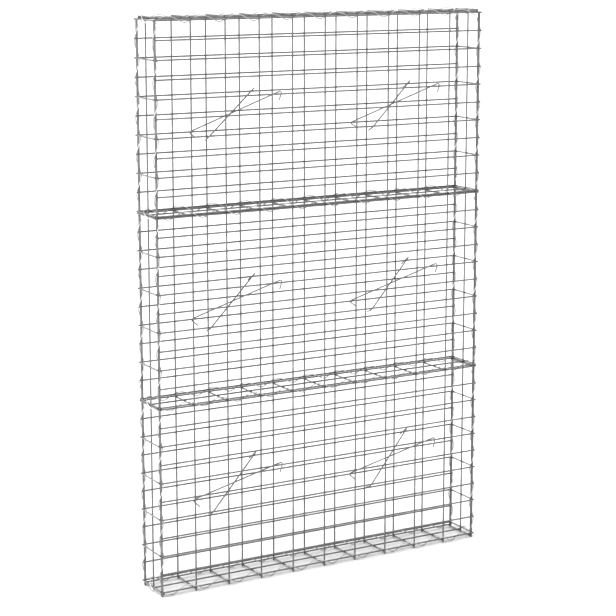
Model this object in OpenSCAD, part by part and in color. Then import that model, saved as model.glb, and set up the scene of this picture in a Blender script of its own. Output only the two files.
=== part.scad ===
// Gabion wall: three stacked baskets of welded wire mesh, laced together with spiral binders and braced by ties.
// Millimetres. X runs along the wall, -Y is the front and +Z is up. The origin is the bottom centre of the wall.

/* [Mesh] */
// Cells along the wall
cells_long = 10; // [8:1:14]
// Cell width along the wall
cell_w = 100; // [80:5:130]
// Rows of cells in the front and rear panels of a basket
rows = 10; // [8:2:14]
// Cell height in the front and rear panels, and cell width in the end panels
cell_h = 50; // [40:2.5:65]
// Cells across the wall in the end panels and the covers
cells_deep = 2; // [2:2:6]
// Mesh wire diameter
wire = 4; // [3:0.25:5]
// Distance between the centres of two crossing wires, as a share of the wire diameter
weld = 0.84; // [0.76:0.02:0.9]

/* [Baskets] */
// Distance between the neighbouring edge wires of two stacked baskets
basket_gap = 5; // [4.8:0.2:8]
// Distance from the front uprights to the first upright of an end panel
corner_gap = 5.5; // [5.4:0.1:8]
// Distance from the bottom wires down to the base, and from the top wires up to the lid
cover_gap = 3.8; // [3:0.2:5]
// How far the long wires stick out past the end uprights
stub = 5; // [3:0.5:12]
// How far the uprights reach below the bottom wires, as feet
foot = 13; // [13:0.5:25]

/* [Spiral binders] */
// Spiral wire diameter
coil_wire = 2.5; // [2:0.1:3]
// Play between a spiral and the wires that it holds
coil_play = 0.1; // [0.05:0.05:0.4]
// Length left free of spiral next to each corner
coil_free = 14; // [14:1:40]
// How far the spirals at the ends of the base and lid are drawn in towards the basket
coil_draw = 4.5; // [4:0.1:6]

/* [Ties] */
// Tie wire diameter
tie_wire = 3.4; // [2.6:0.1:3.6]
// Row that the low end of a tie hooks on
tie_low = 4; // [2:1:5]
// Row that the high end of a tie hooks on
tie_high = 6; // [5:1:7]
// Distance from the wall's end to the middle of the first pair of ties, in cells
tie_middle = 2.55; // [2.4:0.05:2.65]
// Distance along the wall between the two places where a tie lies on a wire, in cells
tie_run = 1.87; // [1.7:0.01:2]
// Length of a tie past the far side of its low wire, up to the corner of the bend that hooks under that wire
tie_under = 14; // [14:0.5:21]
// Length of a tie past its high wire, up to the corner of its bend
tie_over = 12; // [11:0.5:20]
// Shift along the wall between the two ties of a pair, in cells
tie_shift = 0.1; // [0.1:0.02:0.3]
// Length of the bent legs of a tie
tie_leg = 33; // [20:1:45]
// Inside angle between a leg and the shaft of a tie
tie_angle = 62; // [55:1:80]
// Turn of the legs about the shaft, from straight down
tie_roll = 50; // [30:5:70]
// Inside radius of the bends of a tie
tie_bend = 4; // [3:0.5:8]
// Play between a tie and the mesh wires it lies on
tie_play = 0.2; // [0.1:0.05:0.6]

/* [Hidden] */

baskets = 3;
// Gap between wires of different panels that pass close by
clear = 0.4;
// Angles of the spirals where they pass the first upright: at the corners, and along the base, dividers and lid
corner_turn = 6;
edge_turn = 150;
lid_turn = -36;
bar_sides = 8;
coil_sides = 5;
coil_rings = 8;
end_coil_rings = 16;
tie_sides = 6;
tie_bend_rings = 4;
mesh_colour = "#b9bcbe";
coil_colour = "#c9cccd";
tie_colour = "#aeb1b4";

// A polygonal bar with the same cross-section area as a round wire.
function bar_r(d, sides) = d / 2 * sqrt(2 * PI / (sides * sin(360 / sides)));
wire_r = bar_r(wire, bar_sides);
coil_r = bar_r(coil_wire, coil_sides);
tie_r = bar_r(tie_wire, tie_sides);

apart = wire * weld;
basket_h = rows * cell_h;
row_step = 2 * cell_h;
basket_pitch = basket_h + basket_gap;
half_l = cells_long * cell_w / 2;
half_d = cells_deep * cell_h / 2 + corner_gap;
upright_end = (basket_gap - clear) / 2;
cover_edge = wire_r + clear;

// Height of the bottom wires of basket t, counted from 0.
function basket_z(t) = foot + t * basket_pitch;
// Height of the long wires of cover c: the base is 0 and the lid is the last.
function cover_z(c) =
    c == 0 ? foot - cover_gap :
    c == baskets ? basket_z(c - 1) + basket_h + cover_gap :
    basket_z(c) - basket_gap / 2;
// Height of the cross wires of cover c, which lie outside the long ones.
function cross_z(c) = cover_z(c) + (c == baskets ? apart : -apart);
// Heights of the wall panels' edge wires that meet at cover c.
function edge_zs(c) = [
    if (c > 0) basket_z(c - 1) + basket_h,
    if (c < baskets) basket_z(c)
];

// ---- Straight mesh wires ----

module bar(length) {
    rotate([0, 0, 180 / bar_sides])
        cylinder(h = length, r = wire_r, $fn = bar_sides);
}

module wire_x(from, to, y, z) {
    translate([from, y, z])
        rotate([0, 90, 0])
            bar(to - from);
}

module wire_y(from, to, x, z) {
    translate([x, from, z])
        rotate([-90, 0, 0])
            bar(to - from);
}

module wire_z(from, to, x, y) {
    translate([x, y, from])
        bar(to - from);
}

module upright(t, x, y) {
    wire_z(
        t == 0 ? 0 : basket_z(t) - upright_end,
        basket_z(t) + basket_h + upright_end,
        x,
        y
    );
}

// ---- Panels ----

// Front panel of basket t, or the rear one when it is turned half round. The long wires are outside.
module long_panel(t, turned) {
    color(mesh_colour)
        rotate([0, 0, turned ? 180 : 0]) {
            for (i = [0 : cells_long])
                upright(t, i * cell_w - half_l, -half_d);
            for (k = [0 : rows])
                wire_x(-half_l - stub, half_l + stub, -half_d - apart, basket_z(t) + k * cell_h);
        }
}

// Left end panel of basket t, or the right one when it is turned half round. Its cells stand upright.
module end_panel(t, turned) {
    reach = half_d - cover_edge;
    color(mesh_colour)
        rotate([0, 0, turned ? 180 : 0]) {
            for (j = [0 : cells_deep])
                upright(t, -half_l, j * cell_h - half_d + corner_gap);
            for (k = [0 : rows / 2])
                wire_y(-reach, reach, -half_l - apart, basket_z(t) + k * row_step);
        }
}

// Base, divider or lid.
module cover(c) {
    long_reach = half_l - cover_edge;
    cross_reach = half_d - cover_edge;
    color(mesh_colour) {
        for (j = [0 : cells_deep])
            wire_x(-long_reach, long_reach, j * cell_h - half_d + corner_gap, cover_z(c));
        for (i = [1 : cells_long - 1])
            wire_y(-cross_reach, cross_reach, i * cell_w - half_l, cross_z(c));
        for (x = [-half_l + corner_gap, half_l - corner_gap])
            wire_y(-cross_reach, cross_reach, x, cross_z(c));
    }
}

// ---- Swept round wire ----

// Faces of a tube of closed rings, each with the same number of points, with flat ends.
function tube_faces(rings, sides) = concat(
    [[for (i = [0 : sides - 1]) i]],
    [for (k = [0 : rings - 2], i = [0 : sides - 1])
        each let (
            a = k * sides + i,
            b = k * sides + (i + 1) % sides
        ) [[b, a, a + sides], [b, a + sides, b + sides]]],
    [[for (i = [sides - 1 : -1 : 0]) (rings - 1) * sides + i]]
);

// Points of one ring round a centre, spanned by two unit vectors.
function ring(centre, u, v, r, sides) =
    [for (i = [0 : sides - 1]) centre + r * (cos(360 * i / sides) * u + sin(360 * i / sides) * v)];

function unit(v) = v / norm(v);

// ---- Spiral binders ----

// Radius of a spiral's centre line, so that its straight facets clear every wire it holds.
function hold_r(centre, held, rings) =
    (max([for (w = held) norm(w - centre)]) + wire_r + coil_play + coil_wire / 2) / cos(180 / rings);

// A right-handed spiral along Z about the origin. Its turn is the angle from +X at height zero.
module coil(from, to, pitch, r, turn, rings) {
    count = ceil((to - from) / pitch * rings);
    points = [for (k = [0 : count])
        let (
            z = from + (to - from) * k / count,
            a = turn + 360 * z / pitch,
            out = [cos(a), sin(a), 0],
            along = unit([-sin(a), cos(a), pitch / (2 * PI * r)])
        )
        each ring(r * out + [0, 0, z], cross(out, along), out, coil_r, coil_sides)];
    color(coil_colour)
        polyhedron(points, tube_faces(count + 1, coil_sides), convexity = 8);
}

// Spirals at a corner, round the end uprights of two panels: one length for each basket.
// At the height of a long wire each is on its inner side, clear of the wires that end there.
module corner_coils(right, rear) {
    centre = [-half_l, -half_d + corner_gap / 2];
    held = [[-half_l, -half_d], [-half_l, -half_d + corner_gap]];
    mirrored = right != rear;
    for (t = [0 : baskets - 1])
        rotate([0, 0, rear ? 180 : 0])
            translate([mirrored ? -centre[0] : centre[0], centre[1], basket_z(t)])
                coil(
                    coil_free,
                    basket_h - coil_free,
                    row_step,
                    hold_r(centre, held, coil_rings),
                    mirrored ? 180 - corner_turn : corner_turn,
                    coil_rings
                );
}

// Spiral along the front or rear edge at cover c, round the edge wires of the panels and of the cover.
module long_coil(c, rear) {
    walls = [for (z = edge_zs(c)) [-half_d - apart, z]];
    cover_wire = [-half_d + corner_gap, cover_z(c)];
    centre = c == 0 || c == baskets ? (walls[0] + cover_wire) / 2 : [(walls[0] + cover_wire)[0] / 2, cover_z(c)];
    rotate([0, 0, rear ? 180 : 0])
        translate([-half_l, centre[0], centre[1]])
            rotate(a = 120, v = [1, 1, 1])
                coil(
                    coil_free,
                    2 * half_l - coil_free,
                    cell_w,
                    hold_r(centre, concat(walls, [cover_wire]), coil_rings),
                    c == baskets ? lid_turn : edge_turn,
                    coil_rings
                );
}

// Spirals along both ends at cover c, a single turn each, on the outer side at the middle upright.
module end_coils(c) {
    walls = [for (z = edge_zs(c)) [-half_l - apart, z]];
    cover_wire = [-half_l + corner_gap, cross_z(c)];
    wall_wire = walls[len(walls) - 1];
    across = cover_wire - wall_wire;
    inward =
        c == 0 ? unit([-across[1], across[0]]) :
        c == baskets ? unit([across[1], -across[0]]) :
        [0, 0];
    centre = (wall_wire + cover_wire) / 2 + coil_draw * inward;
    for (turned = [0, 180])
        rotate([0, 0, turned])
            translate([centre[0], -half_d, centre[1]])
                rotate(a = -120, v = [1, 1, 1])
                    coil(
                        coil_free,
                        2 * half_d - coil_free,
                        2 * half_d,
                        hold_r(centre, concat(walls, [cover_wire]), end_coil_rings),
                        90,
                        end_coil_rings
                    );
}

// ---- Ties ----

// Positions and directions along an arc that turns from one unit direction to another at a corner.
function bend(corner, d_in, d_out, r, count) =
    let (
        turn = acos(d_in * d_out),
        inner = unit(d_out - (d_in * d_out) * d_in),
        centre = corner - r * tan(turn / 2) * d_in + r * inner
    )
    [for (k = [0 : count])
        let (a = turn * k / count)
        [centre + r * (sin(a) * d_in - cos(a) * inner), cos(a) * d_in + sin(a) * inner]];

// A tie lies across the basket on a low wire of one long panel and on a high wire of the other one.
// Both its legs are bent back to the same side, and hook round those wires.
module tie(t, pair, low_rear) {
    side = low_rear ? 1 : -1;
    run = tie_run * cell_w;
    shift = (low_rear ? tie_shift : -tie_shift) * cell_w / 2;
    mid_x = (tie_middle + pair * cells_long / 2) * cell_w - half_l + shift;
    low = [mid_x - run / 2, side * (half_d + apart), basket_z(t) + tie_low * cell_h];
    high = [mid_x + run / 2, -side * (half_d + apart), basket_z(t) + tie_high * cell_h];
    shaft = unit(high - low);
    lift = (wire_r + tie_r + tie_play) * norm([shaft[1], shaft[2]]) / abs(shaft[1]);
    low_corner = low + [0, 0, lift] - (wire + tie_under) * shaft;
    high_corner = high + [0, 0, lift] + tie_over * shaft;
    down = unit(shaft[2] * shaft - [0, 0, 1]);
    legs = cos(tie_roll) * down + sin(tie_roll) * side * cross(down, shaft);
    low_leg = cos(tie_angle) * shaft + sin(tie_angle) * legs;
    high_leg = sin(tie_angle) * legs - cos(tie_angle) * shaft;
    flat = cross(shaft, legs);
    bend_r = tie_bend + tie_wire / 2;
    path = concat(
        [[low_corner + tie_leg * low_leg, -low_leg]],
        bend(low_corner, -low_leg, shaft, bend_r, tie_bend_rings),
        bend(high_corner, shaft, high_leg, bend_r, tie_bend_rings),
        [[high_corner + tie_leg * high_leg, high_leg]]
    );
    points = [for (p = path) each ring(p[0], flat, cross(p[1], flat), tie_r, tie_sides)];
    color(tie_colour)
        polyhedron(points, tube_faces(len(path), tie_sides), convexity = 4);
}

// ---- Nodes ----

long_panel(0, false);  // lower_front_panel
long_panel(0, true);  // lower_rear_panel
end_panel(0, false);  // lower_left_panel
end_panel(0, true);  // lower_right_panel
long_panel(1, false);  // middle_front_panel
long_panel(1, true);  // middle_rear_panel
end_panel(1, false);  // middle_left_panel
end_panel(1, true);  // middle_right_panel
long_panel(2, false);  // upper_front_panel
long_panel(2, true);  // upper_rear_panel
end_panel(2, false);  // upper_left_panel
end_panel(2, true);  // upper_right_panel
cover(0);  // base_panel
cover(1);  // lower_divider
cover(2);  // upper_divider
cover(3);  // lid_panel
tie(0, 0, true);  // lower_left_tie_rear_to_front
tie(0, 0, false);  // lower_left_tie_front_to_rear
tie(0, 1, true);  // lower_right_tie_rear_to_front
tie(0, 1, false);  // lower_right_tie_front_to_rear
tie(1, 0, true);  // middle_left_tie_rear_to_front
tie(1, 0, false);  // middle_left_tie_front_to_rear
tie(1, 1, true);  // middle_right_tie_rear_to_front
tie(1, 1, false);  // middle_right_tie_front_to_rear
tie(2, 0, true);  // upper_left_tie_rear_to_front
tie(2, 0, false);  // upper_left_tie_front_to_rear
tie(2, 1, true);  // upper_right_tie_rear_to_front
tie(2, 1, false);  // upper_right_tie_front_to_rear
corner_coils(false, false);  // front_left_corner_spirals
corner_coils(true, false);  // front_right_corner_spirals
corner_coils(false, true);  // rear_left_corner_spirals
corner_coils(true, true);  // rear_right_corner_spirals
long_coil(0, false);  // base_front_spiral
long_coil(0, true);  // base_rear_spiral
end_coils(0);  // base_end_spirals
long_coil(1, false);  // lower_divider_front_spiral
long_coil(1, true);  // lower_divider_rear_spiral
end_coils(1);  // lower_divider_end_spirals
long_coil(2, false);  // upper_divider_front_spiral
long_coil(2, true);  // upper_divider_rear_spiral
end_coils(2);  // upper_divider_end_spirals
long_coil(3, false);  // lid_front_spiral
long_coil(3, true);  // lid_rear_spiral
end_coils(3);  // lid_end_spirals
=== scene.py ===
"""A free-standing gabion wall of welded wire mesh baskets, laced with spiral binders and braced by hooked
ties.

Metres, in the frame's own axes: X runs along the wall, -Y is the front, Z is up, and the origin is on the
floor.
"""

import math

import bpy
import numpy as np
from bpy.props import FloatProperty, FloatVectorProperty, IntProperty, PointerProperty
from mathutils import Euler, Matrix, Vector


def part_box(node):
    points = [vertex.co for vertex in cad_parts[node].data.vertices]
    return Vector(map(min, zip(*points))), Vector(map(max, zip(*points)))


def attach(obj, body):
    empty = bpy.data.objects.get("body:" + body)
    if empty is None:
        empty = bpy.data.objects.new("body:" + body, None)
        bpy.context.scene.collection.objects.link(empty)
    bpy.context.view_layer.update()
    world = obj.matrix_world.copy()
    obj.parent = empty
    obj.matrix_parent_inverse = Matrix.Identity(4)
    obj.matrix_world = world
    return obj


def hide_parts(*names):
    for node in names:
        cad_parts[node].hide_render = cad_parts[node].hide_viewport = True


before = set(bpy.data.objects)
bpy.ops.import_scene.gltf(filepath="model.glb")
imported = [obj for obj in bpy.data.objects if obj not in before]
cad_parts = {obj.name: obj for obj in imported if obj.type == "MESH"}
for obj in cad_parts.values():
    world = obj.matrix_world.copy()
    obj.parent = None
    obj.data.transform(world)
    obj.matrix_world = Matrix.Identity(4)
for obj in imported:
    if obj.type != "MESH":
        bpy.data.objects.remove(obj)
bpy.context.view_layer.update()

bl_info = {
    "name": "Gabion Wall",
    "version": (1, 0, 0),
    "blender": (4, 5, 0),
    "location": "3D View > Sidebar > Gabion Wall",
    "description": "Builds the wires, binders and ties of a gabion wall round its frame",
    "category": "Add Mesh",
}

MM = 0.001
BASKETS = ("lower", "middle", "upper")
COVERS = ("base", "lower_divider", "upper_divider", "lid")
COVER_NODES = ("base_panel", "lower_divider", "upper_divider", "lid_panel")

# The frame's plain bars have the section area of the round wire. Its ties are thinner and have fewer sides.
BAR_SIDES = 8
TIE_CORNER = 1.1  # corner radius of a tie's bar against its wire's radius

# Random draws: each piece starts its own, from the number of its group and its place in the group
SEED = 4107
GROUP_SEEDS = {
    "long_panels": 0,
    "end_panels": 100,
    "covers": 200,
    "corner_spirals": 300,
    "edge_spirals": 400,
    "end_spirals": 500,
    "ties": 600,
}
BASKET_SEEDS = 10  # numbers kept for the panels of one basket
GRAIN_RANGE = 3.0  # metres over which the marks of drawing start on a wire

# Rings of a wire round a weld: place along it in mm, nearness to the weld, and how far it is pressed flat
WELD_RINGS = ((-4.2, 0, 0), (-2.6, 0.6, 0.35), (-1.3, 1, 1), (1.3, 1, 1), (2.6, 0.6, 0.35), (4.2, 0, 0))

# A sheared end: the most that its face leans, its radius at the face and one step in, against the wire's,
# that step, and where the wire is round and whole again
SHEAR_LEAN = 0.11
SHEAR_FACE, SHEAR_RIM = 0.84, 0.95
SHEAR_STEP, SHEAR_LENGTH = 0.15 * MM, 0.9 * MM
SPIRAL_END = 0.86  # radius of a spiral's cut end against its wire's
TIE_STEP = 0.5 * MM  # from a tie's cut end to its next ring
BEND_STEPS = 14  # rings in a tie's bend, less one

# A weld bead: how far it reaches, what it bulges between the wires, its unevenness and half its thickness,
# all in radii of the wire. The power rounds its rim, and the sizes are the smallest and largest of the
# beads against this.
BEAD_SIDES = 12
BEAD_RINGS = (-62, -24, 24, 62)  # degrees from its middle plane
BEAD_REACH, BEAD_BULGE, BEAD_UNEVEN, BEAD_THICK = 0.98, 0.2, 0.06, 0.4
BEAD_POWER = 0.6
BEAD_SIZES = (0.92, 1.08)

# The stage: how far the floor reaches each way, the way that each light shines and how wide it looks in
# degrees, and the camera's place, angles in degrees, sensor and lens in mm, shift in picture widths, and
# nearest and farthest view
FLOOR_REACH = 300.0
OVERHEAD_DIRECTION, OVERHEAD_SPREAD = (0.3, 0.4, -1.0), 90
SIDE_DIRECTION, SIDE_SPREAD = (0.87, -0.5, -0.27), 60
CAMERA_PLACE = (-2.544, -4.334, 1.745)
CAMERA_DOWN, CAMERA_YAW = 9.97, 30.21
CAMERA_SENSOR, CAMERA_LENS, CAMERA_SHIFT = 36.0, 108.9, -0.08
CAMERA_NEAR, CAMERA_FAR = 0.1, 100.0
DISPLAY_GAMMA = 0.65


# ---- What a user would change ----


class GabionWires(bpy.types.PropertyGroup):
    """Wire sizes, and the sides of the tubes that stand for them."""

    mesh_wire: FloatProperty(
        name="Mesh wire",
        description="Diameter of the welded mesh wire",
        default=0.004,
        min=0.002,
        unit="LENGTH",
    )
    spiral_wire: FloatProperty(
        name="Spiral wire",
        description="Diameter of the spiral binders' wire",
        default=0.0025,
        min=0.001,
        unit="LENGTH",
    )
    tie_wire: FloatProperty(
        name="Tie wire",
        description="Diameter of the hooked ties' wire",
        default=0.0034,
        min=0.001,
        unit="LENGTH",
    )
    spiral_play: FloatProperty(
        name="Spiral play",
        description="Gap between a spiral and the wires that it holds",
        default=0.0002,
        min=0.0,
        unit="LENGTH",
    )
    electrode_mark: FloatProperty(
        name="Electrode mark",
        description="Depth of the flat that the welding electrode leaves on the outside of a crossing",
        default=0.00022,
        min=0.0,
        unit="LENGTH",
    )
    mesh_sides: IntProperty(name="Mesh wire sides", description="Faces round a mesh wire", default=14, min=6)
    spiral_sides: IntProperty(
        name="Spiral sides",
        description="Faces round a spiral's wire",
        default=10,
        min=6,
    )
    tie_sides: IntProperty(name="Tie sides", description="Faces round a tie's wire", default=16, min=6)
    spiral_steps: IntProperty(
        name="Spiral steps",
        description="Rings in one turn of a spiral",
        default=40,
        min=12,
    )


class GabionBasket(bpy.types.PropertyGroup):
    """Counts and short lengths of the mesh panels."""

    cells_long: IntProperty(name="Cells along", description="Cells along the wall", default=10, min=1)
    rows: IntProperty(name="Rows", description="Rows of cells in a front panel", default=10, min=2)
    cells_deep: IntProperty(name="Cells across", description="Cells across the wall", default=2, min=1)
    cell_height: FloatProperty(
        name="Cell height",
        description="Distance between two long wires",
        default=0.05,
        min=0.01,
        unit="LENGTH",
    )
    stub: FloatProperty(
        name="Stub",
        description="How far a long wire sticks out past the last upright",
        default=0.005,
        min=0.0,
        unit="LENGTH",
    )
    coil_free: FloatProperty(
        name="Free end",
        description="Length left free of spiral next to each corner",
        default=0.014,
        min=0.0,
        unit="LENGTH",
    )
    coil_draw: FloatProperty(
        name="Spiral draw",
        description="How far the spirals at the ends of the base and lid are drawn in",
        default=0.0045,
        min=0.0,
        unit="LENGTH",
    )
    corner_turn: FloatProperty(
        name="Corner turn", description="Turn of a corner spiral", default=math.radians(6), subtype="ANGLE"
    )
    edge_turn: FloatProperty(
        name="Edge turn",
        description="Turn of a spiral along the base or a divider",
        default=math.radians(150),
        subtype="ANGLE",
    )
    lid_turn: FloatProperty(
        name="Lid turn",
        description="Turn of a spiral along the lid",
        default=math.radians(-36),
        subtype="ANGLE",
    )


class GabionTie(bpy.types.PropertyGroup):
    """Shape of the hooked ties. The rows are counted from the bottom of a basket."""

    low_row: IntProperty(name="Low row", description="Row that the low end hooks on", default=4)
    high_row: IntProperty(name="High row", description="Row that the high end hooks on", default=6)
    middle: FloatProperty(
        name="Middle", description="From the wall's end to the first pair of ties, in cells", default=2.55
    )
    run: FloatProperty(
        name="Run",
        description="Length along the wall between both hooks, in cells",
        default=1.87,
    )
    shift: FloatProperty(
        name="Shift",
        description="Distance between the ties of a pair, in cells",
        default=0.1,
    )
    under: FloatProperty(
        name="Under", description="Length past the low wire to its bend", default=0.018, unit="LENGTH"
    )
    over: FloatProperty(
        name="Over",
        description="Length past the high wire to its bend",
        default=0.012,
        unit="LENGTH",
    )
    leg: FloatProperty(name="Leg", description="Length of a bent leg", default=0.033, unit="LENGTH")
    angle: FloatProperty(
        name="Angle", description="Between a leg and the shaft", default=math.radians(62), subtype="ANGLE"
    )
    roll: FloatProperty(
        name="Roll", description="Turn of the legs about the shaft", default=math.radians(50), subtype="ANGLE"
    )
    bend: FloatProperty(name="Bend", description="Inside radius of a bend", default=0.004, unit="LENGTH")
    play: FloatProperty(
        name="Play",
        description="Gap over the wires it lies on",
        default=0.0002,
        unit="LENGTH",
    )


class GabionFinish(bpy.types.PropertyGroup):
    """Colours of the zinc, the cut ends and the floor, and strengths of the lights."""

    mesh_zinc: FloatVectorProperty(
        name="Mesh zinc",
        description="Colour of the mesh wire's zinc",
        subtype="COLOR",
        default=(0.26, 0.26, 0.262),
        min=0.0,
        max=1.0,
    )
    spiral_zinc: FloatVectorProperty(
        name="Spiral zinc",
        description="Colour of the spirals' zinc",
        subtype="COLOR",
        default=(0.5, 0.5, 0.505),
        min=0.0,
        max=1.0,
    )
    tie_zinc: FloatVectorProperty(
        name="Tie zinc",
        description="Colour of the ties' zinc",
        subtype="COLOR",
        default=(0.25, 0.25, 0.252),
        min=0.0,
        max=1.0,
    )
    cut_steel: FloatVectorProperty(
        name="Cut steel",
        description="Colour of the bare steel at a cut end",
        subtype="COLOR",
        default=(0.20, 0.19, 0.18),
        min=0.0,
        max=1.0,
    )
    floor: FloatVectorProperty(
        name="Floor",
        description="Colour of the floor",
        subtype="COLOR",
        default=(0.64, 0.64, 0.64),
        min=0.0,
        max=1.0,
    )
    overhead: FloatProperty(
        name="Overhead",
        description="Strength of the wide overhead light",
        default=2.8,
        min=0.0,
    )
    side: FloatProperty(name="Side", description="Strength of the wide side light", default=4.0, min=0.0)
    sky: FloatProperty(name="Sky", description="Strength of the surrounding light", default=1.0, min=0.0)


# ---- Where the frame says the wires are ----


class Layout:
    """Centre lines of the wires, taken from the boxes of the frame's nodes."""

    def __init__(self, scene):
        wires, basket = scene.gabion_wires, scene.gabion_basket
        self.wire = wires.mesh_wire
        step = 2 * math.pi / BAR_SIDES
        self.bar_corner = self.wire / 2 * math.sqrt(2 * math.pi / (BAR_SIDES * math.sin(step)))
        flat = self.bar_corner * math.cos(math.pi / BAR_SIDES)
        self.rows, self.cells_long, self.cells_deep = basket.rows, basket.cells_long, basket.cells_deep
        self.cell_h = basket.cell_height
        self.height = self.rows * self.cell_h
        low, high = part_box("middle_front_panel")
        self.front_upright = high.y - flat
        self.front_long = low.y + flat
        self.long_reach = high.x
        self.half = high.x - basket.stub
        self.cell_w = 2 * self.half / self.cells_long
        self.upright_end = (high.z - low.z - self.height) / 2
        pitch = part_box("upper_front_panel")[0].z - low.z
        self.bottoms = [low.z + self.upright_end + (t - 1) * pitch for t in range(3)]
        low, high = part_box("middle_left_panel")
        self.cross_reach = high.y
        self.gap = -self.front_upright - self.cells_deep * self.cell_h / 2
        self.end_cross = low.x + flat
        self.across = [(j - self.cells_deep / 2) * self.cell_h for j in range(self.cells_deep + 1)]
        self.uprights = [i * self.cell_w - self.half for i in range(self.cells_long + 1)]
        self.cover_long, self.cover_cross, self.cover_reach = [], [], []
        for name in COVER_NODES:
            low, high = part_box(name)
            lid = name.startswith("lid")
            self.cover_long.append(low.z + flat if lid else high.z - flat)
            self.cover_cross.append(high.z - flat if lid else low.z + flat)
            self.cover_reach.append((high.x, high.y))

    def levels(self, t, step):
        """In basket t, the heights of the wires across its uprights, one each step rows, and the
        uprights' ends."""
        heights = [self.bottoms[t] + k * self.cell_h for k in range(0, self.rows + 1, step)]
        foot = 0.0 if t == 0 else self.bottoms[t] - self.upright_end
        return heights, (foot, heights[-1] + self.upright_end)

    def edge_heights(self, c):
        """Heights of the wall panels' edge wires that meet at cover c."""
        tops = [self.bottoms[c - 1] + self.height] if c > 0 else []
        return tops + ([self.bottoms[c]] if c < len(self.bottoms) else [])


# ---- Mesh of round wires ----


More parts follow.
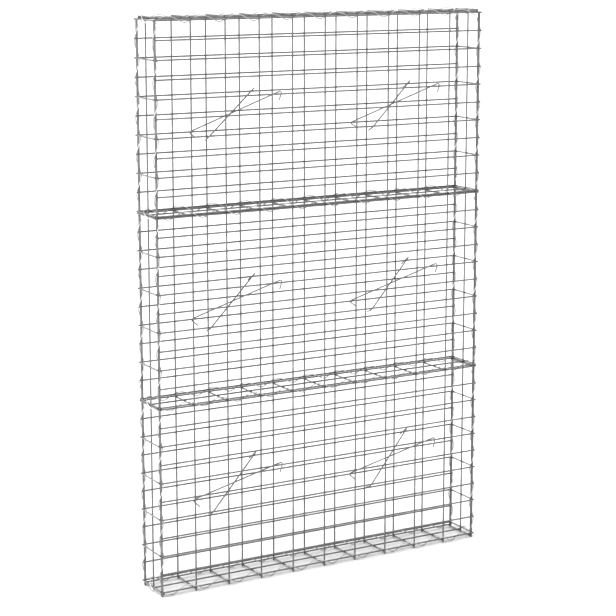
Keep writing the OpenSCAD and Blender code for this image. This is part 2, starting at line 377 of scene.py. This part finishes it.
class WireMesh:
    """Gathers swept wires and weld beads, then makes one object of them.

    grain holds each point's place across and along its own wire, for the marks of drawing. weld is how
    near it is to a weld, from 0 to 1.
    """

    def __init__(self, seed):
        self.points, self.faces, self.slots, self.grain, self.weld = [], [], [], [], []
        self.count = 0
        self.draw = np.random.default_rng(SEED + seed)

    def add(self, points, faces, slots, grain, weld):
        self.points.append(points)
        self.faces += [tuple(self.count + k for k in face) for face in faces]
        self.slots += slots
        self.grain.append(grain)
        self.weld.append(weld)
        self.count += len(points)

    def sweep(self, centres, sides_u, sides_v, radii, around, weld=None, flats=None):
        """A closed tube of rings round the centres, spanned by two unit vectors each. flats gives for a
        ring the direction and distance past which it is pressed flat."""
        centres, radii = np.asarray(centres, float), np.asarray(radii, float)
        turn = 2 * math.pi * np.arange(around) / around
        across = radii[:, None, None] * (
            np.cos(turn)[None, :, None] * np.asarray(sides_u)[:, None, :]
            + np.sin(turn)[None, :, None] * np.asarray(sides_v)[:, None, :]
        )
        for ring, (direction, most) in (flats or {}).items():
            over = across[ring] @ direction - most
            across[ring] -= np.maximum(over, 0)[:, None] * direction
        points = (centres[:, None, :] + across).reshape(-1, 3)
        steps = np.r_[0, np.linalg.norm(np.diff(centres, axis=0), axis=1).cumsum()]
        local = np.stack(
            [
                np.outer(radii, np.cos(turn)),
                np.outer(radii, np.sin(turn)),
                np.repeat(steps[:, None], around, 1),
            ],
            2,
        ).reshape(-1, 3)
        offset = self.draw.uniform(0, GRAIN_RANGE, 3)
        rings = len(centres)
        faces, slots = [], []
        for k in range(rings - 1):
            for i in range(around):
                a, b = k * around + i, k * around + (i + 1) % around
                faces.append((a, b, b + around, a + around))
        slots += [0] * len(faces)
        tips = []
        for ring, order in ((0, -1), (rings - 1, 1)):
            tips.append(centres[ring])
            tip = rings * around + len(tips) - 1
            for i in range(around):
                a, b = ring * around + i, ring * around + (i + 1) % around
                faces.append((a, b, tip)[::order])
            slots += [1] * around
        points = np.vstack([points, tips])
        local = np.vstack([local, [[0, 0, 0], [0, 0, steps[-1]]]]) + offset
        near = np.repeat(np.zeros(rings) if weld is None else np.asarray(weld, float), around)
        self.add(points, faces, slots, local, np.r_[near, 0, 0])

    def bar(self, start, end, axis, radius, around, crossings=(), mark=0.0):
        """A straight wire along one axis, with sheared ends. crossings lists (place on the axis,
        direction away from the wire welded on there)."""
        start, end = np.array(start, float), np.array(end, float)
        length = end[axis] - start[axis]
        along = np.eye(3)[axis]
        u, v = np.eye(3)[(axis + 1) % 3], np.eye(3)[(axis + 2) % 3]
        lean = self.draw.uniform(-SHEAR_LEAN, SHEAR_LEAN, (2, 2))
        depth = radius * np.linalg.norm(lean, axis=1)
        # Each stop is a ring: place from the start, radius against the wire's, nearness to a weld, and flat
        # if any
        stops = [(SHEAR_LENGTH, 1.0, 0, None), (length - SHEAR_LENGTH, 1.0, 0, None)]
        for face, way in ((depth[0], 1), (length - depth[1], -1)):
            stops += [(face, SHEAR_FACE, 0, None), (face + way * SHEAR_STEP, SHEAR_RIM, 0, None)]
        for place, away in crossings:
            for offset, near, flat in WELD_RINGS:
                s = place - start[axis] + offset * MM
                if MM < s < length - MM:
                    pressed = (np.array(away, float), radius - flat * mark) if flat else None
                    stops.append((s, 1.0, near, pressed))
        stops.sort(key=lambda stop: stop[0])
        centres = [start + s * along for s, *_ in stops]
        sweep_u, sweep_v = np.tile(u, (len(stops), 1)), np.tile(v, (len(stops), 1))
        for rings, (lean_u, lean_v) in ((slice(0, 2), lean[0]), (slice(-2, None), lean[1])):
            sweep_u[rings] += along * lean_u
            sweep_v[rings] += along * lean_v
        self.sweep(
            centres,
            sweep_u,
            sweep_v,
            [r * radius for _, r, *_ in stops],
            around,
            [w for _, _, w, _ in stops],
            {k: f for k, (*_, f) in enumerate(stops) if f},
        )

    def bead(self, centre, normal, radius):
        """The small collar of metal that is squeezed out where two wires are welded."""
        normal = np.array(normal, float)
        axis = int(np.abs(normal).argmax())
        u, v = np.eye(3)[(axis + 1) % 3], np.eye(3)[(axis + 2) % 3]
        turn = 2 * math.pi * np.arange(BEAD_SIDES) / BEAD_SIDES
        size = self.draw.uniform(*BEAD_SIZES)
        uneven = self.draw.uniform(-BEAD_UNEVEN, BEAD_UNEVEN, BEAD_SIDES)
        reach = radius * size * (BEAD_REACH + BEAD_BULGE * np.abs(np.sin(2 * turn)) + uneven)
        thick = BEAD_THICK * radius * size
        points = [centre - normal * thick]
        for lat in np.radians(BEAD_RINGS):
            rim = reach * math.cos(lat) ** BEAD_POWER
            middle = centre + normal * thick * math.sin(lat)
            points += list(middle + np.outer(rim * np.cos(turn), u) + np.outer(rim * np.sin(turn), v))
        points.append(centre + normal * thick)
        last = len(points) - 1
        faces = []
        for i in range(BEAD_SIDES):
            j = (i + 1) % BEAD_SIDES
            faces.append((0, 1 + j, 1 + i))
            faces.append((last, last - BEAD_SIDES + i, last - BEAD_SIDES + j))
            for k in range(len(BEAD_RINGS) - 1):
                a, b = 1 + k * BEAD_SIDES + i, 1 + k * BEAD_SIDES + j
                faces.append((a, b, b + BEAD_SIDES, a + BEAD_SIDES))
        points = np.array(points)
        local = (points - centre) + self.draw.uniform(0, GRAIN_RANGE, 3)
        self.add(points, faces, [0] * len(faces), local, np.ones(len(points)))

    def finish(self, name, materials, nodes, slot):
        """Makes the object. The first material covers the wire and the second its cut ends."""
        mesh = bpy.data.meshes.new(name)
        mesh.from_pydata(np.vstack(self.points).tolist(), [], self.faces)
        mesh.polygons.foreach_set("material_index", self.slots)
        mesh.polygons.foreach_set("use_smooth", [s == 0 for s in self.slots])
        grain = mesh.attributes.new("grain", "FLOAT_VECTOR", "POINT")
        grain.data.foreach_set("vector", np.vstack(self.grain).astype(np.float32).ravel())
        weld = mesh.attributes.new("weld", "FLOAT", "POINT")
        weld.data.foreach_set("value", np.concatenate(self.weld).astype(np.float32))
        for material in materials:
            mesh.materials.append(material)
        mesh.validate()
        piece = bpy.data.objects.new(name, mesh)
        bpy.context.scene.collection.objects.link(piece)
        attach(piece, "root")
        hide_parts(*nodes)
        return piece


# ---- Shader maths ----


class Value:
    """A shader socket that takes part in Python sums, which add Math nodes."""

    def __init__(self, tree, socket):
        self.tree, self.socket = tree, socket

    def math(self, operation, *others):
        node = self.tree.make("ShaderNodeMath", {"operation": operation}, [self, *others])
        return Value(self.tree, node.outputs[0])

    def __add__(self, other):
        return self.math("ADD", other)

    __radd__ = __add__

    def __mul__(self, other):
        return self.math("MULTIPLY", other)

    __rmul__ = __mul__

    def __sub__(self, other):
        return self.math("SUBTRACT", other)

    def __rsub__(self, other):
        return self * -1 + other


class Tree:
    """The node tree of a material or world."""

    def __init__(self, owner):
        owner.use_nodes = True
        self.nodes, self.links = owner.node_tree.nodes, owner.node_tree.links
        self.nodes.clear()

    def make(self, kind, settings=None, sockets=()):
        """A node of a kind. Its settings come first, then the values or links of its sockets, by name or
        number."""
        node = self.nodes.new(kind)
        for key, value in (settings or {}).items():
            setattr(node, key, value)
        pairs = sockets.items() if isinstance(sockets, dict) else enumerate(sockets)
        for key, value in pairs:
            if isinstance(value, Value):
                self.links.new(value.socket, node.inputs[key])
            elif isinstance(value, bpy.types.NodeSocket):
                self.links.new(value, node.inputs[key])
            else:
                node.inputs[key].default_value = value
        return node

    def value(self, node, output=0):
        """An output of a node, ready for sums."""
        return Value(self, node.outputs[output])

    def noise(self, place, scale, detail, rough):
        """Soft noise. scale is in bumps a metre."""
        node = self.make(
            "ShaderNodeTexNoise",
            {"noise_dimensions": "3D"},
            {"Vector": place, "Scale": scale, "Detail": detail, "Roughness": rough},
        )
        return self.value(node, "Fac")

    def remap(self, value, low, high, to_low=0.0, to_high=1.0):
        """A value between low and high, eased onto another range and kept in it."""
        node = self.make(
            "ShaderNodeMapRange",
            {"interpolation_type": "SMOOTHSTEP", "clamp": True},
            {"Value": value, "From Min": low, "From Max": high, "To Min": to_low, "To Max": to_high},
        )
        return self.value(node)

    def mix(self, factor, a, b):
        """Two colours mixed."""
        node = self.make("ShaderNodeMix", {"data_type": "RGBA"}, {0: factor, 6: a, 7: b})
        return node.outputs[2]

    def stretched(self, vector, scale):
        """A place scaled on each axis, which draws a pattern out where the scale is small."""
        node = self.make("ShaderNodeVectorMath", {"operation": "MULTIPLY"}, [vector, scale])
        return node.outputs[0]


def tone(colour, factor):
    """A colour made darker or brighter, with its alpha."""
    return tuple(min(1.0, c * factor) for c in colour[:3]) + (1.0,)


def zinc(name, colour, dull, bright, rough):
    """Galvanised wire: mottled zinc with drawing lines along the wire, and a duller, rougher ring at each
    weld."""
    material = bpy.data.materials.new(name)
    t = Tree(material)
    grain = t.make("ShaderNodeAttribute", {"attribute_name": "grain"}).outputs["Vector"]
    weld = t.value(t.make("ShaderNodeAttribute", {"attribute_name": "weld"}), "Fac")
    clouds = t.noise(t.stretched(grain, (1, 1, 0.6)), scale=42.0, detail=3.0, rough=0.55)
    spangle = t.make(
        "ShaderNodeTexVoronoi",
        {"feature": "F1"},
        {"Vector": t.stretched(grain, (1, 1, 0.55)), "Scale": 620.0},
    )
    flakes = t.value(spangle, "Color")
    lines = t.noise(t.stretched(grain, (1, 1, 0.02)), scale=2600.0, detail=2.0, rough=0.6)
    bloom = t.remap(t.noise(grain, scale=130.0, detail=4.0, rough=0.62), 0.56, 0.74)
    shade = t.remap(clouds * 0.62 + flakes * 0.22 + lines * 0.16, 0.32, 0.68)
    body = t.mix(shade, tone(colour, dull), tone(colour, bright))
    body = t.mix(bloom * 0.35, body, tone(colour, 1.5 * bright))
    burnt = t.remap(weld + (clouds - 0.5) * 0.9, 0.55, 1.15, to_low=0.0, to_high=0.45)
    body = t.mix(burnt, body, tone(colour, 0.55))
    roughness = rough + (shade - 0.5) * -0.16 + bloom * 0.18 + burnt * 0.3
    height = lines * 0.25 + flakes * 0.35 + t.noise(grain, scale=900.0, detail=2.0, rough=0.5) * 0.4
    bump = t.make("ShaderNodeBump", {}, {"Strength": 0.25, "Distance": 0.12 * MM, "Height": height})
    surface = t.make(
        "ShaderNodeBsdfPrincipled",
        {},
        {"Base Color": body, "Metallic": 0.7, "Roughness": roughness, "Normal": bump.outputs[0]},
    )
    t.make("ShaderNodeOutputMaterial", {}, {"Surface": surface.outputs[0]})
    return material


def bare_steel(name, colour):
    """The sheared end of a wire: dull steel with a breath of rust."""
    material = bpy.data.materials.new(name)
    t = Tree(material)
    place = t.make("ShaderNodeTexCoord").outputs["Object"]
    spots = t.remap(t.noise(place, scale=700.0, detail=3.0, rough=0.6), 0.45, 0.7)
    rust = (0.16, 0.09, 0.055, 1.0)
    body = t.mix(spots, tone(colour, 1.0), rust)
    surface = t.make(
        "ShaderNodeBsdfPrincipled", {}, {"Base Color": body, "Metallic": 0.6, "Roughness": spots * 0.25 + 0.5}
    )
    t.make("ShaderNodeOutputMaterial", {}, {"Surface": surface.outputs[0]})
    return material


def finishes(scene):
    """The materials, made once."""
    finish = scene.gabion_finish
    made = {
        "mesh_zinc": lambda n: zinc(n, finish.mesh_zinc, dull=0.82, bright=1.16, rough=0.46),
        "spiral_zinc": lambda n: zinc(n, finish.spiral_zinc, dull=0.86, bright=1.14, rough=0.4),
        "tie_zinc": lambda n: zinc(n, finish.tie_zinc, dull=0.8, bright=1.15, rough=0.42),
        "cut_steel": lambda n: bare_steel(n, finish.cut_steel),
    }
    return {name: bpy.data.materials.get(name) or build(name) for name, build in made.items()}


# ---- Pieces ----


def weld_net(mesh, lay, wires, first, second):
    """Straight wires welded to a flat net, with a bead at each crossing.

    first and second are the two lots of wires. Each gives the axis that it runs along, its wires' places
    on the other lot's axis, where it lies on the third axis, and its two ends.
    """
    (axis, places, level, ends), (other_axis, other_places, other_level, other_ends) = first, second
    normal = 3 - axis - other_axis
    way = 1 if other_level > level else -1
    out = tuple(way if k == normal else 0 for k in range(3))
    inward = tuple(-k for k in out)
    radius = lay.wire / 2

    def point(along, across, depth):
        return tuple({axis: along, other_axis: across, normal: depth}[k] for k in range(3))

    def wire(start, end, run, crossings):
        mesh.bar(start, end, run, radius, wires.mesh_sides, crossings, wires.electrode_mark)

    for place in places:
        start, end = (point(at, place, level) for at in ends)
        wire(start, end, axis, [(at, inward) for at in other_places])
    for place in other_places:
        start, end = (point(place, at, other_level) for at in other_ends)
        wire(start, end, other_axis, [(at, out) for at in places])
        for at in places:
            mesh.bead(np.array(point(place, at, (level + other_level) / 2)), out, radius)


class GABION_OT_long_panels(bpy.types.Operator):
    """Builds the front and rear mesh panels of the three baskets"""

    bl_idname = "gabion.long_panels"
    bl_label = "Front and rear panels"

    def execute(self, context):
        scene = context.scene
        lay, wires, skins = Layout(scene), scene.gabion_wires, finishes(scene)
        for t, basket in enumerate(BASKETS):
            heights, ends = lay.levels(t, 1)
            for side, sign in (("front", 1), ("rear", -1)):
                mesh = WireMesh(GROUP_SEEDS["long_panels"] + BASKET_SEEDS * t + (sign < 0))
                uprights = (2, lay.uprights, sign * lay.front_upright, ends)
                longs = (0, heights, sign * lay.front_long, (-lay.long_reach, lay.long_reach))
                weld_net(mesh, lay, wires, uprights, longs)
                node = f"{basket}_{side}_panel"
                mesh.finish(f"{node}_wires", [skins["mesh_zinc"], skins["cut_steel"]], [node], "mesh_wire")
        return {"FINISHED"}


class GABION_OT_end_panels(bpy.types.Operator):
    """Builds the left and right mesh panels of the three baskets"""

    bl_idname = "gabion.end_panels"
    bl_label = "End panels"

    def execute(self, context):
        scene = context.scene
        lay, wires, skins = Layout(scene), scene.gabion_wires, finishes(scene)
        for t, basket in enumerate(BASKETS):
            heights, ends = lay.levels(t, 2)
            for side, sign in (("left", 1), ("right", -1)):
                mesh = WireMesh(GROUP_SEEDS["end_panels"] + BASKET_SEEDS * t + (sign < 0))
                uprights = (2, lay.across, -sign * lay.half, ends)
                crosses = (1, heights, sign * lay.end_cross, (-lay.cross_reach, lay.cross_reach))
                weld_net(mesh, lay, wires, uprights, crosses)
                node = f"{basket}_{side}_panel"
                mesh.finish(f"{node}_wires", [skins["mesh_zinc"], skins["cut_steel"]], [node], "mesh_wire")
        return {"FINISHED"}


class GABION_OT_covers(bpy.types.Operator):
    """Builds the base, the two dividers and the lid"""

    bl_idname = "gabion.covers"
    bl_label = "Base, dividers and lid"

    def execute(self, context):
        scene = context.scene
        lay, wires, skins = Layout(scene), scene.gabion_wires, finishes(scene)
        for c, node in enumerate(COVER_NODES):
            mesh = WireMesh(GROUP_SEEDS["covers"] + c)
            reach_x, reach_y = lay.cover_reach[c]
            places = [-lay.half + lay.gap, *lay.uprights[1:-1], lay.half - lay.gap]
            longs = (0, lay.across, lay.cover_long[c], (-reach_x, reach_x))
            crosses = (1, places, lay.cover_cross[c], (-reach_y, reach_y))
            weld_net(mesh, lay, wires, longs, crosses)
            mesh.finish(f"{node}_wires", [skins["mesh_zinc"], skins["cut_steel"]], [node], "mesh_wire")
        return {"FINISHED"}


def spiral(mesh, wires, origin, axes, ends, pitch, radius, turn):
    """A right-handed spiral about an axis. axes are two directions across it and the one along it, in
    which its turns are counted from origin. turn is its angle there."""
    origin, across, aside, forward = (np.array(vector, float) for vector in (origin, *axes))
    start, end = ends
    count = math.ceil((end - start) / pitch * wires.spiral_steps)
    rise = pitch / (2 * math.pi * radius)
    centres, sides, outwards = [], [], []
    for k in range(count + 1):
        s = start + (end - start) * k / count
        a = turn + 2 * math.pi * s / pitch
        outward = math.cos(a) * across + math.sin(a) * aside
        along = math.cos(a) * aside - math.sin(a) * across + rise * forward
        along /= np.linalg.norm(along)
        centres.append(origin + radius * outward + s * forward)
        sides.append(np.cross(outward, along))
        outwards.append(outward)
    radii = np.full(count + 1, wires.spiral_wire / 2)
    radii[[0, -1]] *= SPIRAL_END
    mesh.sweep(centres, sides, outwards, radii, wires.spiral_sides)


def hold(centre, held, lay, wires):
    """Radius of a spiral that clears the wires it holds."""
    far = max(math.dist(centre, w) for w in held)
    return far + lay.wire / 2 + wires.spiral_play + wires.spiral_wire / 2


class GABION_OT_corner_spirals(bpy.types.Operator):
    """Builds the upright spirals at the four corners, one length for each basket"""

    bl_idname = "gabion.corner_spirals"
    bl_label = "Corner spirals"

    def execute(self, context):
        scene = context.scene
        lay, wires, basket, skins = Layout(scene), scene.gabion_wires, scene.gabion_basket, finishes(scene)
        middle = (lay.half, lay.front_upright + lay.gap / 2)
        radius = hold(middle, [(lay.half, lay.front_upright)], lay, wires)
        for k, (depth, hand) in enumerate((d, h) for d in ("front", "rear") for h in ("left", "right")):
            mesh = WireMesh(GROUP_SEEDS["corner_spirals"] + k)
            rear = depth == "rear"
            mirrored = (hand == "right") != rear
            turn = math.pi - basket.corner_turn if mirrored else basket.corner_turn
            flip = -1 if rear else 1
            x0, y0 = (lay.half if mirrored else -lay.half), middle[1]
            axes = ((flip, 0, 0), (0, flip, 0), (0, 0, 1))
            ends = (basket.coil_free, lay.height - basket.coil_free)
            for bottom in lay.bottoms:
                spiral(mesh, wires, (flip * x0, flip * y0, bottom), axes, ends, 2 * lay.cell_h, radius, turn)
            node = f"{depth}_{hand}_corner_spirals"
            mesh.finish(f"{node}_wire", [skins["spiral_zinc"], skins["cut_steel"]], [node], "spiral_wire")
        return {"FINISHED"}


class GABION_OT_edge_spirals(bpy.types.Operator):
    """Builds the spirals along the front and rear edges of the base, the dividers and the lid"""

    bl_idname = "gabion.edge_spirals"
    bl_label = "Edge spirals"

    def execute(self, context):
        scene = context.scene
        lay, wires, basket, skins = Layout(scene), scene.gabion_wires, scene.gabion_basket, finishes(scene)
        for c, cover in enumerate(COVERS):
            walls = [(lay.front_long, z) for z in lay.edge_heights(c)]
            inner = (lay.across[0], lay.cover_long[c])
            outermost = c in (0, len(COVERS) - 1)
            y0 = (walls[0][0] + inner[0]) / 2
            z0 = (walls[0][1] + inner[1]) / 2 if outermost else inner[1]
            radius = hold((y0, z0), [*walls, inner], lay, wires)
            turn = basket.lid_turn if c == len(COVERS) - 1 else basket.edge_turn
            ends = (basket.coil_free, 2 * lay.half - basket.coil_free)
            for depth, flip in (("front", 1), ("rear", -1)):
                mesh = WireMesh(GROUP_SEEDS["edge_spirals"] + 2 * c + (flip < 0))
                axes = ((0, flip, 0), (0, 0, 1), (flip, 0, 0))
                spiral(mesh, wires, (-flip * lay.half, flip * y0, z0), axes, ends, lay.cell_w, radius, turn)
                node = f"{cover}_{depth}_spiral"
                mesh.finish(f"{node}_wire", [skins["spiral_zinc"], skins["cut_steel"]], [node], "spiral_wire")
        return {"FINISHED"}


class GABION_OT_end_spirals(bpy.types.Operator):
    """Builds the short spirals across both ends of the base, the dividers and the lid"""

    bl_idname = "gabion.end_spirals"
    bl_label = "End spirals"

    def execute(self, context):
        scene = context.scene
        lay, wires, basket, skins = Layout(scene), scene.gabion_wires, scene.gabion_basket, finishes(scene)
        depth = -2 * lay.front_upright
        for c, cover in enumerate(COVERS):
            walls = [(lay.end_cross, z) for z in lay.edge_heights(c)]
            cross = (-lay.half + lay.gap, lay.cover_cross[c])
            across = Vector(cross) - Vector(walls[-1])
            inward = Vector((0, 0))
            if c == 0:
                inward = Vector((-across.y, across.x)).normalized()
            elif c == len(COVERS) - 1:
                inward = Vector((across.y, -across.x)).normalized()
            x0, z0 = (Vector(walls[-1]) + Vector(cross)) / 2 + basket.coil_draw * inward
            radius = hold((x0, z0), [*walls, cross], lay, wires)
            mesh = WireMesh(GROUP_SEEDS["end_spirals"] + c)
            ends = (basket.coil_free, depth - basket.coil_free)
            for flip in (1, -1):
                axes = ((0, 0, 1), (flip, 0, 0), (0, flip, 0))
                origin = (flip * x0, flip * lay.front_upright, z0)
                spiral(mesh, wires, origin, axes, ends, depth, radius, math.pi / 2)
            node = f"{cover}_end_spirals"
            mesh.finish(f"{node}_wire", [skins["spiral_zinc"], skins["cut_steel"]], [node], "spiral_wire")
        return {"FINISHED"}


def arc(corner, d_in, d_out, radius, count):
    """Points and directions of a round bend at a corner between two unit directions."""
    turn = math.acos(float(np.clip(d_in @ d_out, -1, 1)))
    inner = d_out - (d_in @ d_out) * d_in
    inner /= np.linalg.norm(inner)
    centre = corner - radius * math.tan(turn / 2) * d_in + radius * inner
    made = []
    for k in range(count + 1):
        a = turn * k / count
        made.append(
            (
                centre + radius * (math.sin(a) * d_in - math.cos(a) * inner),
                math.cos(a) * d_in + math.sin(a) * inner,
            )
        )
    return made


def tie_course(lay, wires, tie, t, pair, side):
    """Points and directions along a tie of basket t, and the direction square to its hooks. side is 1
    where its low end hooks on the rear panel, and -1 where it hooks on the front."""
    rest = lay.bar_corner + wires.tie_wire / 2 * TIE_CORNER + tie.play
    up = np.array((0.0, 0.0, 1.0))
    mid = (tie.middle + pair * lay.cells_long / 2 + side * tie.shift / 2) * lay.cell_w - lay.half
    run = tie.run * lay.cell_w
    low = np.array((mid - run / 2, -side * lay.front_long, lay.bottoms[t] + tie.low_row * lay.cell_h))
    high = np.array((mid + run / 2, side * lay.front_long, lay.bottoms[t] + tie.high_row * lay.cell_h))
    shaft = (high - low) / np.linalg.norm(high - low)
    lift = rest * math.hypot(shaft[1], shaft[2]) / abs(shaft[1])
    low_corner = low + lift * up - tie.under * shaft
    high_corner = high + lift * up + tie.over * shaft
    down = shaft[2] * shaft - up
    down /= np.linalg.norm(down)
    legs = math.cos(tie.roll) * down + math.sin(tie.roll) * side * np.cross(down, shaft)
    low_leg = math.cos(tie.angle) * shaft + math.sin(tie.angle) * legs
    high_leg = math.sin(tie.angle) * legs - math.cos(tie.angle) * shaft
    bend = tie.bend + wires.tie_wire / 2
    first, last = low_corner + tie.leg * low_leg, high_corner + tie.leg * high_leg
    course = [(first, -low_leg), (first - TIE_STEP * low_leg, -low_leg)]
    course += arc(low_corner, -low_leg, shaft, bend, BEND_STEPS)
    course += arc(high_corner, shaft, high_leg, bend, BEND_STEPS)
    course += [(last - TIE_STEP * high_leg, high_leg), (last, high_leg)]
    return course, np.cross(shaft, legs)


class GABION_OT_ties(bpy.types.Operator):
    """Builds the hooked ties that cross inside each basket"""

    bl_idname = "gabion.ties"
    bl_label = "Ties"

    def execute(self, context):
        scene = context.scene
        lay, wires, tie, skins = Layout(scene), scene.gabion_wires, scene.gabion_tie, finishes(scene)
        places = [(t, pair, side) for t in range(len(BASKETS)) for pair in range(2) for side in (1, -1)]
        for number, (t, pair, side) in enumerate(places):
            course, flat = tie_course(lay, wires, tie, t, pair, side)
            radii = np.full(len(course), wires.tie_wire / 2)
            radii[[0, -1]] *= SHEAR_FACE
            mesh = WireMesh(GROUP_SEEDS["ties"] + number)
            mesh.sweep(
                [point for point, _ in course],
                [flat] * len(course),
                [np.cross(direction, flat) for _, direction in course],
                radii,
                wires.tie_sides,
            )
            hand = ("left", "right")[pair]
            lean = "rear_to_front" if side > 0 else "front_to_rear"
            node = f"{BASKETS[t]}_{hand}_tie_{lean}"
            mesh.finish(f"{node}_wire", [skins["tie_zinc"], skins["cut_steel"]], [node], "tie_wire")
        return {"FINISHED"}


# ---- Stage ----


def soft_light(name, direction, spread, strength):
    """A wide, soft light from far away. spread is how wide it looks, in degrees."""
    data = bpy.data.lights.new(name, "SUN")
    data.energy, data.angle = strength, math.radians(spread)
    lamp = bpy.data.objects.new(name, data)
    bpy.context.scene.collection.objects.link(lamp)
    lamp.rotation_euler = Vector(direction).to_track_quat("-Z", "Y").to_euler()


class GABION_OT_stage(bpy.types.Operator):
    """Lays a plain pale floor, and sets soft lights and the camera"""

    bl_idname = "gabion.stage"
    bl_label = "Stage"

    def execute(self, context):
        scene, finish = context.scene, context.scene.gabion_finish
        mesh = bpy.data.meshes.new("floor")
        corners = [(x * FLOOR_REACH, y * FLOOR_REACH, 0) for x, y in ((-1, -1), (1, -1), (1, 1), (-1, 1))]
        mesh.from_pydata(corners, [], [(0, 1, 2, 3)])
        floor = bpy.data.objects.new("floor", mesh)
        scene.collection.objects.link(floor)
        material = bpy.data.materials.new("floor")
        t = Tree(material)
        surface = t.make(
            "ShaderNodeBsdfPrincipled",
            {},
            {"Base Color": (*finish.floor, 1.0), "Roughness": 0.9, "Specular IOR Level": 0.1},
        )
        t.make("ShaderNodeOutputMaterial", {}, {"Surface": surface.outputs[0]})
        mesh.materials.append(material)

        world = bpy.data.worlds.new("studio")
        scene.world = world
        t = Tree(world)
        sky = t.make("ShaderNodeBackground", {}, {"Color": (1.0, 1.0, 1.0, 1.0), "Strength": finish.sky})
        t.make("ShaderNodeOutputWorld", {}, {"Surface": sky.outputs[0]})

        soft_light("overhead", OVERHEAD_DIRECTION, OVERHEAD_SPREAD, finish.overhead)
        soft_light("side", SIDE_DIRECTION, SIDE_SPREAD, finish.side)

        data = bpy.data.cameras.new("camera")
        data.sensor_width, data.lens, data.shift_y = CAMERA_SENSOR, CAMERA_LENS, CAMERA_SHIFT
        data.clip_start, data.clip_end = CAMERA_NEAR, CAMERA_FAR
        camera = bpy.data.objects.new("camera", data)
        scene.collection.objects.link(camera)
        camera.location = CAMERA_PLACE
        camera.rotation_euler = Euler((math.radians(90 - CAMERA_DOWN), 0, math.radians(-CAMERA_YAW)))
        scene.camera = camera
        scene.view_settings.view_transform = "Standard"
        scene.view_settings.gamma = DISPLAY_GAMMA
        return {"FINISHED"}


# ---- Panel and registration ----


class GABION_PT_tools(bpy.types.Panel):
    """Lists the wall's sizes and finishes, and the steps that build it"""

    bl_idname = "GABION_PT_tools"
    bl_label = "Gabion Wall"
    bl_space_type = "VIEW_3D"
    bl_region_type = "UI"
    bl_category = "Gabion Wall"

    def draw(self, context):
        for group in (getattr(context.scene, name) for name in GROUPS):
            box = self.layout.box()
            for key in group.bl_rna.properties.keys():
                if key not in ("rna_type", "name"):
                    box.prop(group, key)
        for step in STEPS:
            self.layout.operator(step.bl_idname)


GROUPS = {
    "gabion_wires": GabionWires,
    "gabion_basket": GabionBasket,
    "gabion_tie": GabionTie,
    "gabion_finish": GabionFinish,
}
STEPS = (
    GABION_OT_long_panels,
    GABION_OT_end_panels,
    GABION_OT_covers,
    GABION_OT_corner_spirals,
    GABION_OT_edge_spirals,
    GABION_OT_end_spirals,
    GABION_OT_ties,
    GABION_OT_stage,
)


def register():
    for cls in (*GROUPS.values(), *STEPS, GABION_PT_tools):
        bpy.utils.register_class(cls)
    for name, group in GROUPS.items():
        setattr(bpy.types.Scene, name, PointerProperty(type=group))


def unregister():
    for name in GROUPS:
        delattr(bpy.types.Scene, name)
    for cls in reversed((*GROUPS.values(), *STEPS, GABION_PT_tools)):
        bpy.utils.unregister_class(cls)


def main():
    register()
    bpy.ops.gabion.long_panels()
    bpy.ops.gabion.end_panels()
    bpy.ops.gabion.covers()
    bpy.ops.gabion.corner_spirals()
    bpy.ops.gabion.edge_spirals()
    bpy.ops.gabion.end_spirals()
    bpy.ops.gabion.ties()
    bpy.ops.gabion.stage()


if __name__ == "__main__":
    main()
